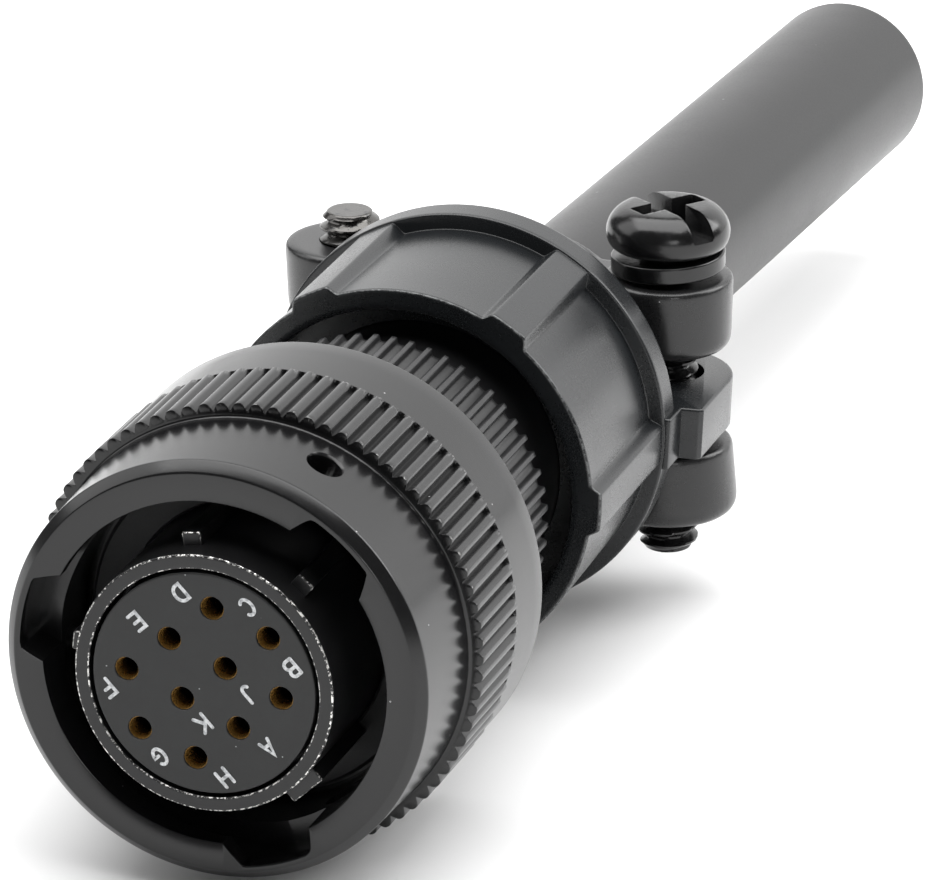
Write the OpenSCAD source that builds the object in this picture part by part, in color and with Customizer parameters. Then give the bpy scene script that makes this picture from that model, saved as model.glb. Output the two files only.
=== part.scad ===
// Circular bayonet plug for cable: knurled coupling ring, keyed shell with ten
// socket contacts, ribbed backshell, two-saddle cable clamp and rubber sleeve.
// The plug's axis is Y. The mating face is at y = 0 and looks towards -Y, the
// sleeve leaves towards +Y, and the clamp screws stand along Z. Millimetres.

/* [Coupling ring] */
// Outer diameter over the knurl
ring_d = 25.66; // [25.5:0.02:26]
// Outer diameter of the smooth rear band
band_d = 25.4; // [25.2:0.02:25.4]
// Outer diameter of the smooth front lip at its foot
lip_d = 24; // [23.8:0.05:24.1]
// Bore of the lip, which takes the receptacle's barrel
mate_d = 19.3; // [19.2:0.02:19.4]
// Front face of the lip, behind the shell's rim
lip_front = 1.45; // [1.2:0.05:1.7]
// Start of the knurl
knurl_front = 8.04; // [7.9:0.02:8.1]
// End of the knurl
knurl_rear = 13.9; // [13.7:0.05:14.1]
// Rear face of the ring
ring_rear = 18.6; // [18.2:0.1:18.8]
// Number of knurl teeth
knurl_n = 80; // [60:1:90]
// Depth of the knurl
knurl_depth = 0.42; // [0.3:0.02:0.5]
// Angle of the first bayonet entry notch, seen from the front
notch_angle = 48.6; // [0:0.1:120]
// Width of a notch in degrees, half way up its walls
notch_width = 26.8; // [20:0.2:28]
// Diameter over the notches and the bayonet grooves
groove_d = 21.8; // [21.6:0.1:22]
// Diameter of the sight holes at the ends of the grooves
sight_d = 2; // [1.6:0.1:2.2]
// Angle of the first sight hole
sight_angle = 65.5; // [62:0.5:70]

/* [Shell] */
// Outer diameter of the keyed barrel
shell_d = 14.48; // [14.3:0.02:14.5]
// Inner diameter at the rim
shell_bore = 12.9; // [12.8:0.05:12.95]
// Depth of the mating cavity
cavity = 9; // [8.9:0.05:9.2]
// Angle of the master key
key_angle = -47.1; // [-90:0.1:0]
// Height of the keys
key_h = 0.72; // [0.5:0.02:0.8]
// Diameter over the rear knurl
grip_d = 19.6; // [19.4:0.1:19.7]
// Rear end of the rear knurl
grip_rear = 27.85; // [27:0.05:28]
// Number of ridges on the rear knurl
grip_n = 58; // [48:1:68]
// Diameter of the rear thread
thread_d = 16.4; // [16:0.1:16.4]

/* [Contacts] */
// Spacing of contacts along a row
pitch_row = 3.15; // [3:0.05:3.2]
// Spacing between rows
pitch_col = 2.98; // [2.85:0.02:3]
// Angle of the rows
row_angle = 39.4; // [0:0.1:180]
// Diameter of the entry holes in the carrier's face
entry_d = 1.3; // [1.25:0.05:1.4]
// Inner diameter of a socket contact
socket_bore = 1.04; // [0.9:0.02:1.06]

/* [Backshell] */
// Front face of the cup
cup_front = 31.47; // [31:0.01:32]
// Diameter of the panels between the ribs, at the front
panel_d = 22.5; // [22.2:0.1:22.6]
// Diameter over the ribs
rib_d = 23.6; // [23.4:0.1:23.8]
// Diameter of the rear flange
flange_d = 24; // [23.8:0.1:24.2]
// Number of ribs
rib_n = 6; // [4:1:8]
// Turn of the ribs and lugs about the axis
cup_turn = -3.3; // [-5:0.1:0]
// Front face of the flange
flange_front = 42.85; // [42.2:0.05:43]
// Rear face of the flange
flange_rear = 45; // [44.5:0.1:45.2]

/* [Clamp] */
// Half distance between the screws
screw_x = 9.7; // [9.6:0.05:9.8]
// Place of the screws along the plug
screw_y = 50.6; // [50.4:0.1:51]
// Thread diameter of the screws
screw_d = 3.5; // [3.3:0.1:3.5]
// Head diameter
head_d = 7.15; // [6.8:0.05:7.2]
// Head height
head_h = 2.45; // [2.2:0.05:2.6]
// Lower face of the upper saddle's ears
upper_z0 = 2.5; // [2.45:0.05:2.6]
// Upper face of the upper saddle's ears
upper_z1 = 6.9; // [6.8:0.05:7]
// Upper face of the lower saddle's ears
lower_z1 = -3.2; // [-3.3:0.05:-3.1]
// Lower face of the lower saddle's ears
lower_z0 = -7.6; // [-7.7:0.05:-7.5]
// Space taken by the lock washer under the right head
washer_h = 1.7; // [1.5:0.05:1.8]
// Space taken by the lock washer under the left head, which is less tight
left_washer_h = 2.2; // [1.7:0.05:2.4]
// Length of a screw under its head
screw_len = 18.5; // [18:0.1:19]

/* [Sleeve] */
// Outer diameter of the rubber sleeve
sleeve_d = 10.7; // [10.5:0.05:10.75]
// Inner diameter of the rubber sleeve
sleeve_bore = 7.5; // [5:0.1:8]
// Length of the sleeve behind its pivot in the clamp
sleeve_len = 69.7; // [40:0.1:80]
// Lean of the sleeve in degrees
sleeve_lean = 2.36; // [0:0.01:2.5]
// Direction of the lean about the axis
sleeve_dir = -40.5; // [-180:0.5:180]

/* [Hidden] */
$fn = 72;

gap = 0.02;               // parting between pieces that rest on each other
chamber_r = 11;           // bore of the ring behind the lip
shoulder_r = 10.92;       // shoulder of the shell, which runs in that bore
shoulder_rear = 12.6;
neck_r = 9.55;            // shell between the shoulder and the rear knurl
spring_rear = 13.8;
washer_rear = 14.6;
clip_rear = 15.4;
grip_front = 18.6;
thread_front = 28.4;
shell_rear = 40.5;
insert_r = 6.24;
insert_rear = 22;
core_r = 6.9;             // rear bore of the shell
socket_front = 0.55;
socket_rear = 26.5;
cup_bore_r = 10;
cup_thread_r = 8.25;
cup_wall = 41.7;          // inner face of the cup's rear wall
pivot_y = 44;

// Contact positions on the rows, [along the row, row number]
PLACES = [["a", 0, -1], ["b", 1, -1], ["c", 1.5, 0], ["d", 1, 1], ["e", 0, 1], ["f", -1, 1], ["g", -1.5, 0], ["h", -1, -1], ["j", 0.5, 0], ["k", -0.5, 0]];
function place(i) = let (u = PLACES[i][1] * pitch_row, v = PLACES[i][2] * pitch_col)
    [u * cos(row_angle) - v * sin(row_angle), u * sin(row_angle) + v * cos(row_angle)];

// ---------- shared shapes ----------

// Turned body about Y from [radius, y] points
module turned(p) rotate([-90, 0, 0]) rotate_extrude($fn = 120) polygon(p);

// Round rod or bore along Y
module rod(r, y0, y1) translate([0, y0, 0]) rotate([-90, 0, 0]) cylinder(r = r, h = y1 - y0);

// Places children at an angle about Y, as seen from the front
module at_angle(a) rotate([0, -a, 0]) children();

// Prism along Y from a flat outline
module along(y0, y1) translate([0, y0, 0]) rotate([-90, 0, 0]) linear_extrude(height = y1 - y0) children();

// Quarter round from angle a0 to a1 about a centre, as [radius, y] points
function arc(cr, cy, r, a0, a1, n = 5) = [for (i = [0:n]) let (a = a0 + (a1 - a0) * i / n) [cr + r * cos(a), cy + r * sin(a)]];

// Skins a row of sections, closed on itself or with end caps
module skin(rows, ring = false) {
    n = len(rows);
    k = len(rows[0]);
    m = ring ? n : n - 1;
    sides = [for (i = [0:m - 1]) for (j = [0:k - 1]) let (i2 = (i + 1) % n, j2 = (j + 1) % k)
        each [[i * k + j, i * k + j2, i2 * k + j2], [i * k + j, i2 * k + j2, i2 * k + j]]];
    caps = ring ? [] : [[for (j = [k - 1:-1:0]) j], [for (j = [0:k - 1]) (n - 1) * k + j]];
    polyhedron(points = [for (s = rows) each s], faces = concat(sides, caps));
}

// Rectangular section at angle a about Y: radius r0 to r1, from y0 to y1
function box_at(a, r0, r1, y0, y1) = [[r0 * cos(a), y0, r0 * sin(a)], [r1 * cos(a), y0, r1 * sin(a)],
    [r1 * cos(a), y1, r1 * sin(a)], [r0 * cos(a), y1, r0 * sin(a)]];

// ---------- coupling ring ----------

// Teeth with a narrow flat crest and sharp valleys
module knurl_outline() polygon([for (i = [0:knurl_n - 1]) let (s = 360 / knurl_n, r1 = ring_d / 2, r0 = ring_d / 2 - knurl_depth)
    each [[r1 * cos((i - 0.14) * s), r1 * sin((i - 0.14) * s)], [r1 * cos((i + 0.14) * s), r1 * sin((i + 0.14) * s)],
        [r0 * cos((i + 0.5) * s), r0 * sin((i + 0.5) * s)]]]);

// Entry notch seen from the front: wider at the bore, [share of its width, radius] points
NOTCH = [[-0.866, mate_d / 2 - 1.5], [-0.433, groove_d / 2 - 0.15], [-0.4, groove_d / 2 - 0.02], [-0.37, groove_d / 2 + 0.02],
    [-0.18, groove_d / 2 + 0.03], [0, groove_d / 2 + 0.03], [0.18, groove_d / 2 + 0.03], [0.336, groove_d / 2 + 0.02],
    [0.39, groove_d / 2 - 0.05], [0.425, groove_d / 2 - 0.3], [0.696, mate_d / 2 - 1.5]];
module notch_outline() polygon([for (p = NOTCH) [p[1] * cos(p[0] * notch_width), -p[1] * sin(p[0] * notch_width)]]);

// One bayonet groove: a helical ramp that starts at a notch and ends at a sight hole
module ramp(a0, sweep) skin([for (i = [0:12]) let (a = a0 + sweep * i / 12, y = 3 + 2.7 * i / 12)
    box_at(a, mate_d / 2 - 0.6, groove_d / 2 - 0.2, y - 1.15, y + 1.15)]);

module coupling_ring() color([0.10, 0.10, 0.105]) difference() {
    union() {
        // the lip: flat face, chamfer, slightly coned side and a small fillet at the knurl
        turned(concat([[mate_d / 2, lip_front], [lip_d / 2 - 0.74, lip_front], [lip_d / 2 - 0.2, lip_front + 0.27]],
            arc(lip_d / 2 + 0.14, knurl_front - 0.14, 0.14, 180, 90),
            [[ring_d / 2 - knurl_depth - 0.12, knurl_front], [ring_d / 2 - knurl_depth - 0.12, knurl_rear], [band_d / 2, knurl_rear],
            [band_d / 2, ring_rear - 0.3], [band_d / 2 - 0.28, ring_rear],
            [chamber_r + 0.3, ring_rear], [chamber_r, ring_rear - 0.3],
            [chamber_r, clip_rear + 0.05], [chamber_r + 0.6, clip_rear + 0.05], [chamber_r + 0.6, washer_rear], [chamber_r, washer_rear],
            [chamber_r, cavity - gap], [mate_d / 2, cavity - gap]]));
        along(knurl_front, knurl_rear) rotate([0, 0, 1.03]) difference() {
            knurl_outline();
            circle(r = ring_d / 2 - knurl_depth - 0.5);
        }
    }
    for (i = [0:2]) {
        // entry notch
        at_angle(notch_angle + 120 * i) along(lip_front - 1, lip_front + 2.75) notch_outline();
        // helical groove
        ramp(notch_angle + 120 * i, sight_angle - 120 - notch_angle);
        // sight hole
        at_angle(sight_angle + 120 * i) translate([mate_d / 2 - 0.5, 5.65, 0]) rotate([0, 90, 0]) cylinder(d = sight_d, h = 5);
    }
}

module retaining_ring() color([0.45, 0.45, 0.46]) difference() {
    turned([[10.1, washer_rear + gap], [11.5, washer_rear + gap], [11.5, clip_rear], [10.1, clip_rear]]);
    at_angle(250) translate([9, washer_rear - 1, -1.2]) cube([4, 3, 2.4]);
}

module thrust_washer() color([0.55, 0.55, 0.56])
    turned([[neck_r + 0.1, spring_rear], [chamber_r - 0.2, spring_rear], [chamber_r - 0.2, washer_rear], [neck_r + 0.1, washer_rear]]);

module wave_spring() color([0.6, 0.6, 0.62]) skin([for (i = [0:59]) let (a = 6 * i,
        m = (shoulder_rear + spring_rear) / 2, w = (spring_rear - shoulder_rear) / 2 - 0.17, y = m + w * cos(3 * a))
    box_at(a, 9.75, 10.7, y - 0.15, y + 0.15)], true);

// ---------- shell and contacts ----------

module grip_outline() polygon([for (i = [0:grip_n - 1]) let (s = 360 / grip_n, r1 = grip_d / 2, r0 = grip_d / 2 - 0.32)
    each [[r0 * cos((i - 0.30) * s), r0 * sin((i - 0.30) * s)], [r1 * cos((i - 0.15) * s), r1 * sin((i - 0.15) * s)],
        [r1 * cos((i + 0.15) * s), r1 * sin((i + 0.15) * s)], [r0 * cos((i + 0.30) * s), r0 * sin((i + 0.30) * s)]]]);

module key(a, w, y0) at_angle(a) translate([shell_d / 2 - 0.4, y0, -w / 2]) cube([key_h + 0.4, 8.05 - y0, w]);

module plug_shell() color([0.12, 0.12, 0.125]) difference() {
    union() {
        turned([[insert_r + gap, 3], [shell_bore / 2, 3], [shell_bore / 2, 0.1], [shell_bore / 2 + 0.1, 0],
            [shell_d / 2 - 0.12, 0], [shell_d / 2, 0.12], [shell_d / 2, cavity], [shoulder_r, cavity], [shoulder_r, shoulder_rear],
            [neck_r, shoulder_rear], [neck_r, grip_front], [grip_d / 2 - 0.6, grip_front], [grip_d / 2 - 0.6, grip_rear],
            [thread_d / 2 - 0.5, grip_rear], [thread_d / 2 - 0.5, thread_front], [thread_d / 2, thread_front + 0.4],
            [thread_d / 2, shell_rear - 0.4], [thread_d / 2 - 0.4, shell_rear],
            [core_r, shell_rear], [core_r, insert_rear - 2], [insert_r + gap, insert_rear - 2]]);
        along(grip_front, grip_rear) rotate([0, 0, -47.5]) difference() {
            grip_outline();
            circle(r = grip_d / 2 - 0.8);
        }
        key(key_angle, 2.2, 1);
        for (a = [95, 145, 220, 255]) key(key_angle + a, 1.05, 1.45);
    }
}

module interface_seal() color([0.05, 0.05, 0.05])
    turned(concat([[shell_d / 2 + 0.04, cavity]], [[shell_d / 2 + 0.04, 8.25], [shell_d / 2 + 0.2, 8.1]], [[9.2, 8.1], [9.4, 8.3], [9.4, cavity]]));

module socket_insert() color([0.09, 0.09, 0.095]) difference() {
    turned([[0, 0.05], [insert_r - 0.1, 0.05], [insert_r, 0.15], [insert_r, insert_rear - 2 + gap], [core_r - 0.04, insert_rear - 2 + gap], [core_r - 0.04, insert_rear], [0, insert_rear]]);
    for (i = [0:9]) translate([place(i)[0], 0, place(i)[1]]) {
        rod(entry_d / 2, -1, 1);
        rod(1.02, socket_front - gap, 13);
        rod(1.17, 12, insert_rear + 1);
    }
}

module contact(i) color([0.72, 0.53, 0.20]) translate([place(i)[0], 0, place(i)[1]])
    turned([[entry_d / 2 - gap - 0.035, 0.15], [entry_d / 2 - gap, 0.15], [entry_d / 2 - gap, socket_front], [0.96, socket_front], [1, socket_front + 0.05], [1, 12 + gap], [1.15, 12 + gap], [1.15, 13.2],
        [0.95, 13.2], [0.95, socket_rear], [0.62, socket_rear], [0.62, 21], [0, 20.6], [0, 10], [socket_bore / 2, 9.6], [socket_bore / 2, 0.6]]);

module socket_a() contact(0);
module socket_b() contact(1);
module socket_c() contact(2);
module socket_d() contact(3);
module socket_e() contact(4);
module socket_f() contact(5);
module socket_g() contact(6);
module socket_h() contact(7);
module socket_j() contact(8);
module socket_k() contact(9);

module wire_grommet() color([0.45, 0.12, 0.10]) difference() {
    rod(core_r - 0.05, insert_rear + gap, 30);
    for (i = [0:9]) translate([place(i)[0], 0, place(i)[1]]) rod(0.97, insert_rear - 1, 31);
}

module grommet_follower() color([0.30, 0.30, 0.31])
    turned([[5.2, 30 + gap], [core_r - 0.06, 30 + gap], [core_r - 0.06, shell_rear + gap], [8, shell_rear + gap], [8, cup_wall - 0.05], [5.2, cup_wall - 0.05]]);

// ---------- backshell ----------

// Clamp lug seen from above: it starts as a low boss across the flange
module lug_outline() {
    polygon([[6.4, flange_front + 0.1], [rib_d / 2 + 0.4, flange_front + 0.1], [rib_d / 2 + 0.4, flange_rear + 0.2],
        [screw_x + 3.7, flange_rear + 0.2], [screw_x + 3.7, screw_y], [6.4, screw_y]]);
    translate([screw_x, screw_y]) circle(r = 3.7);
}

module backshell() color([0.13, 0.135, 0.14]) difference() {
    union() {
        turned([[cup_bore_r + 0.15, cup_front], [panel_d / 2 - 0.15, cup_front], [panel_d / 2, cup_front + 0.15],
            [panel_d / 2 - 0.25, flange_front], [flange_d / 2, flange_front], [flange_d / 2, flange_rear - 0.3], [flange_d / 2 - 0.3, flange_rear],
            [6, flange_rear], [6, cup_wall], [cup_thread_r, cup_wall], [cup_thread_r, 35], [cup_bore_r, 35], [cup_bore_r, cup_front + 0.15]]);
        for (i = [0:rib_n - 1]) at_angle(cup_turn + 360 / rib_n * i) along(cup_front, flange_front + 0.5)
            polygon([[panel_d / 2 - 0.6, -1.75], [rib_d / 2 - 0.02, -1.1], [rib_d / 2 - 0.02, 1.1], [panel_d / 2 - 0.6, 1.75]]);
        at_angle(cup_turn) for (s = [0, 1]) mirror([s, 0, 0])
            translate([0, 0, -1.55]) linear_extrude(height = 3.1) lug_outline();
    }
    for (s = [-1, 1]) translate([s * screw_x, screw_y, -6]) cylinder(r = screw_d / 2 + 0.35, h = 12);
    rod(6, cup_wall + 0.5, screw_y + 8);
}

// ---------- clamp ----------

// Sleeve axis: origin at its pivot in the clamp, +Z along the sleeve
module on_sleeve() translate([0, pivot_y, 0]) at_angle(sleeve_dir) rotate([0, 0, -sleeve_lean]) rotate([-90, 0, 0]) children();

// Saddle standing on z = 0: two tapered ears joined by an arch
module saddle_body(h, arch, r1, r2) {
    for (s = [-1, 1]) translate([s * screw_x, screw_y, 0]) cylinder(r1 = r1, r2 = r2, h = h);
    translate([-screw_x, screw_y - 2.9, 0]) cube([2 * screw_x, 5.8, h - 0.6]);
    intersection() {
        translate([0, screw_y - 3.4, arch]) rotate([-90, 0, 0]) cylinder(r = 7.7, h = 6.8);
        translate([-8, screw_y - 4, 0]) cube([16, 8, 12]);
    }
}

module upper_saddle() color([0.14, 0.14, 0.145]) difference() {
    translate([0, 0, upper_z0]) saddle_body(upper_z1 - upper_z0, -upper_z0, 3.62, 3.78);
    on_sleeve() translate([0, 0, -4]) cylinder(r = sleeve_d / 2 + 0.06, h = 24);
    translate([screw_x, screw_y, 0]) cylinder(r = screw_d / 2 + 0.2, h = 12);
    translate([-screw_x, screw_y, 0]) cylinder(r = screw_d / 2 + 0.04, h = 12);
}

module lower_saddle() color([0.14, 0.14, 0.145]) difference() {
    translate([0, 0, lower_z1]) mirror([0, 0, 1]) saddle_body(lower_z1 - lower_z0, lower_z1, 3.72, 4.1);
    on_sleeve() translate([0, 0, -4]) cylinder(r = sleeve_d / 2 + 0.06, h = 24);
    translate([screw_x, screw_y, -12]) cylinder(r = screw_d / 2 + 0.04, h = 12);
    translate([-screw_x, screw_y, -12]) cylinder(r = screw_d / 2 + 0.2, h = 12);
}

// Pan-head screw with a slot and a cross recess: head seat at z = 0, shank down
module pan_screw(turn) difference() {
    rotate_extrude($fn = 96) polygon(concat([[0, -screw_len], [screw_d / 2 - 0.45, -screw_len], [screw_d / 2, -screw_len + 0.45], [screw_d / 2, 0], [head_d / 2 - 0.25, 0]],
        [for (i = [0:8]) let (a = -30 + 100 * i / 8) [head_d / 2 - 1.55 + 1.55 * cos(a), 0.9 + (head_h - 0.95) * sin(a)]],
        [[0, head_h]]));
    rotate([0, 0, turn]) translate([-head_d, -0.6, head_h - 1.25]) cube([2 * head_d, 1.2, 3]);
    rotate([0, 0, turn + 90]) translate([-2.1, -0.6, head_h - 1.7]) cube([4.2, 1.2, 3]);
}

module right_clamp_screw() color([0.05, 0.05, 0.055]) translate([screw_x, screw_y, upper_z1 + washer_h]) pan_screw(-37);
module left_clamp_screw() color([0.05, 0.05, 0.055]) translate([-screw_x, screw_y, lower_z0 - left_washer_h]) rotate([180, 0, 0]) pan_screw(20);

// Split lock washer, a turn of square wire that rises by a part of its height
module split_washer(h) skin([for (i = [0:32]) let (a = -170 + 340 * i / 32, z = 0.01 + (h - 1.02) * i / 32)
    [[2 * cos(a), 2 * sin(a), z], [3.3 * cos(a), 3.3 * sin(a), z], [3.3 * cos(a), 3.3 * sin(a), z + 1], [2 * cos(a), 2 * sin(a), z + 1]]]);

module right_lock_washer() color([0.05, 0.05, 0.055]) translate([screw_x, screw_y, upper_z1]) rotate([0, 0, -75]) split_washer(washer_h);
module left_lock_washer() color([0.05, 0.05, 0.055]) translate([-screw_x, screw_y, lower_z0]) rotate([180, 0, 0]) rotate([0, 0, 60]) split_washer(left_washer_h);

// ---------- sleeve ----------

module cable_sleeve() color([0.20, 0.20, 0.205]) on_sleeve() difference() {
    translate([0, 0, -0.7]) cylinder(d = sleeve_d, h = sleeve_len + 0.7);
    translate([0, 0, -2]) cylinder(d = sleeve_bore, h = sleeve_len + 4);
}

coupling_ring();
retaining_ring();
thrust_washer();
wave_spring();
plug_shell();
interface_seal();
socket_insert();
socket_a();
socket_b();
socket_c();
socket_d();
socket_e();
socket_f();
socket_g();
socket_h();
socket_j();
socket_k();
wire_grommet();
grommet_follower();
backshell();
upper_saddle();
lower_saddle();
right_clamp_screw();
left_clamp_screw();
right_lock_washer();
left_lock_washer();
cable_sleeve();
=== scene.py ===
import bpy, bmesh, math
from mathutils import Vector, Matrix

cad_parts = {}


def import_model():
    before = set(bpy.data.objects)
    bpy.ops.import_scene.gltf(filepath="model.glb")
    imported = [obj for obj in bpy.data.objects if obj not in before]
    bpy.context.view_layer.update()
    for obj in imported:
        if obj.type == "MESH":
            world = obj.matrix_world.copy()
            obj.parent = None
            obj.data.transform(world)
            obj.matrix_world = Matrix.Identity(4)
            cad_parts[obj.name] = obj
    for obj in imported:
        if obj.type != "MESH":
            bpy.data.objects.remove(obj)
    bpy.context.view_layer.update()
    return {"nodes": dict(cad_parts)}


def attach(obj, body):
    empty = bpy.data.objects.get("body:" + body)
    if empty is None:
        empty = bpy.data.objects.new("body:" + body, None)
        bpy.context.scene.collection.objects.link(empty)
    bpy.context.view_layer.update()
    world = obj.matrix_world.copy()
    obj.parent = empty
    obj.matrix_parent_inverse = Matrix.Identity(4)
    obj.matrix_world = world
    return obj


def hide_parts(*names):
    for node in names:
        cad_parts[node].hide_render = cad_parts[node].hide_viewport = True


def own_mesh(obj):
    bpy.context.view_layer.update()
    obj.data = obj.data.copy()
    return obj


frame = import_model()
scene = bpy.context.scene
MM = 0.001
TAU = 2 * math.pi


# ---------------------------------------------------------------- mesh tools
# Everything is modelled in millimetres in the part's frame and scaled to metres at the end.

def cosd(a):
    return math.cos(math.radians(a))


def sind(a):
    return math.sin(math.radians(a))


def new_object(name, verts, faces):
    me = bpy.data.meshes.new(name)
    me.from_pydata([tuple(v) for v in verts], [], faces)
    bm = bmesh.new()
    bm.from_mesh(me)
    bmesh.ops.recalc_face_normals(bm, faces=bm.faces)
    if bm.calc_volume(signed=True) < 0:
        bmesh.ops.reverse_faces(bm, faces=bm.faces)
    bm.to_mesh(me)
    bm.free()
    ob = bpy.data.objects.new(name, me)
    scene.collection.objects.link(ob)
    return ob


def grid_faces(n, k, offset=0, ring=True, loop=True):
    faces = []
    for i in range(n if ring else n - 1):
        a, b = offset + i * k, offset + ((i + 1) % n) * k
        for j in range(k if loop else k - 1):
            j2 = (j + 1) % k
            faces.append((a + j, b + j, b + j2, a + j2))
    return faces


def about_y(r, a, y):
    return (r * cosd(a), y, r * sind(a))


def columns(name, angles, loop_at):
    """A closed ring about Y: at each angle a closed loop of (radius, y) points."""
    verts, k = [], 0
    for a in angles:
        loop = loop_at(a)
        k = len(loop)
        verts += [about_y(r, a, y) for r, y in loop]
    return new_object(name, verts, grid_faces(len(angles), k))


def rounded(pts, closed=True, seg=4, support=0.08):
    """Corners (a, b, radius) of a flat outline become arcs with a support point on each side."""
    out, n = [], len(pts)
    for i, p in enumerate(pts):
        r = p[2] if len(p) > 2 else 0
        P = Vector(p[:2])
        if r <= 0 or (not closed and i in (0, n - 1)):
            out.append((P.x, P.y))
            continue
        A, B = Vector(pts[i - 1][:2]), Vector(pts[(i + 1) % n][:2])
        u, v = (A - P).normalized(), (B - P).normalized()
        half = u.angle(v) / 2
        t = r / math.tan(half)
        C = P + (u + v).normalized() * (r / math.sin(half))
        a, b = P + u * t - C, P + v * t - C
        a0 = math.atan2(a.y, a.x)
        turn = (math.atan2(b.y, b.x) - a0 + math.pi) % TAU - math.pi
        s = min(support, r * 0.6)
        if (A - P).length > t + 2.5 * s:
            q = P + u * (t + s)
            out.append((q.x, q.y))
        for k in range(seg + 1):
            w = a0 + turn * k / seg
            out.append((C.x + r * math.cos(w), C.y + r * math.sin(w)))
        if (B - P).length > t + 2.5 * s:
            q = P + v * (t + s)
            out.append((q.x, q.y))
    return out


def lathe(name, profile, n=96, place=about_y):
    """Turned body. A profile that starts and ends at radius 0 gets poles, any other is a closed loop."""
    poles = profile[0][0] < 1e-6 and profile[-1][0] < 1e-6
    mid = profile[1:-1] if poles else profile
    verts = [place(r, 360 * i / n, y) for i in range(n) for r, y in mid]
    k = len(mid)
    faces = grid_faces(n, k, 0, True, not poles)
    if poles:
        a, b = len(verts), len(verts) + 1
        verts += [place(0, 0, profile[0][1]), place(0, 0, profile[-1][1])]
        for i in range(n):
            i2 = (i + 1) % n
            faces.append((a, i2 * k, i * k))
            faces.append((b, i * k + k - 1, i2 * k + k - 1))
    return new_object(name, verts, faces)


def prism(name, outline, levels, place):
    """Stacked copies of a convex outline: levels are (height, inset)."""
    def inset(d):
        n, out = len(outline), []
        for i in range(n):
            A, P, B = Vector(outline[i - 1]), Vector(outline[i]), Vector(outline[(i + 1) % n])
            u, v = (P - A).normalized(), (B - P).normalized()
            nu, nv = Vector((-u.y, u.x)), Vector((-v.y, v.x))
            m = nu + nv
            out.append(P + m * (d / max(0.2, 1 + nu.dot(nv))))
        return out
    k = len(outline)
    verts = []
    for h, d in levels:
        verts += [place(p.x, p.y, h) for p in inset(d)]
    faces = grid_faces(len(levels), k, 0, False, True)
    faces.append(tuple(range(k)))
    faces.append(tuple(range((len(levels) - 1) * k, len(levels) * k)))
    return new_object(name, verts, faces)


def edge_levels(h0, h1, r, seg=3):
    lo = [(h0 + r * (1 - cosd(90 * i / seg)), r * (1 - sind(90 * i / seg))) for i in range(seg + 1)]
    hi = [(h1 - r * (1 - cosd(90 * i / seg)), r * (1 - sind(90 * i / seg))) for i in range(seg, -1, -1)]
    return lo + hi


def take_modifiers(ob):
    dg = bpy.context.evaluated_depsgraph_get()
    me = bpy.data.meshes.new_from_object(ob.evaluated_get(dg))
    ob.modifiers.clear()
    old = ob.data
    ob.data = me
    bpy.data.meshes.remove(old)
    return ob


def join(obs, operation, ob, solver="MANIFOLD"):
    """Adds or cuts other solids, one after the other, and removes them."""
    for c in obs:
        m = ob.modifiers.new("cut", "BOOLEAN")
        m.operation, m.solver, m.object = operation, solver, c
        take_modifiers(ob)
        me = c.data
        bpy.data.objects.remove(c)
        bpy.data.meshes.remove(me)
    return ob


def attribute(ob, name, value):
    """A number at each vertex, from the vertex's place in millimetres."""
    at = ob.data.attributes.new(name, "FLOAT", "POINT")
    for i, v in enumerate(ob.data.vertices):
        at.data[i].value = value(v.co)


def finish(ob, body, material, nodes=(), sharp=33):
    bm = bmesh.new()
    bm.from_mesh(ob.data)
    bmesh.ops.remove_doubles(bm, verts=bm.verts, dist=1e-5)
    bmesh.ops.dissolve_degenerate(bm, edges=bm.edges, dist=1e-5)
    bm.to_mesh(ob.data)
    bm.free()
    ob.data.transform(Matrix.Scale(MM, 4))
    ob.data.shade_smooth()
    ob.data.set_sharp_from_angle(angle=math.radians(sharp))
    ob.data.materials.clear()
    ob.data.materials.append(material)
    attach(ob, body)
    if nodes:
        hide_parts(*nodes)
    return ob


# ---------------------------------------------------------------- materials

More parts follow.
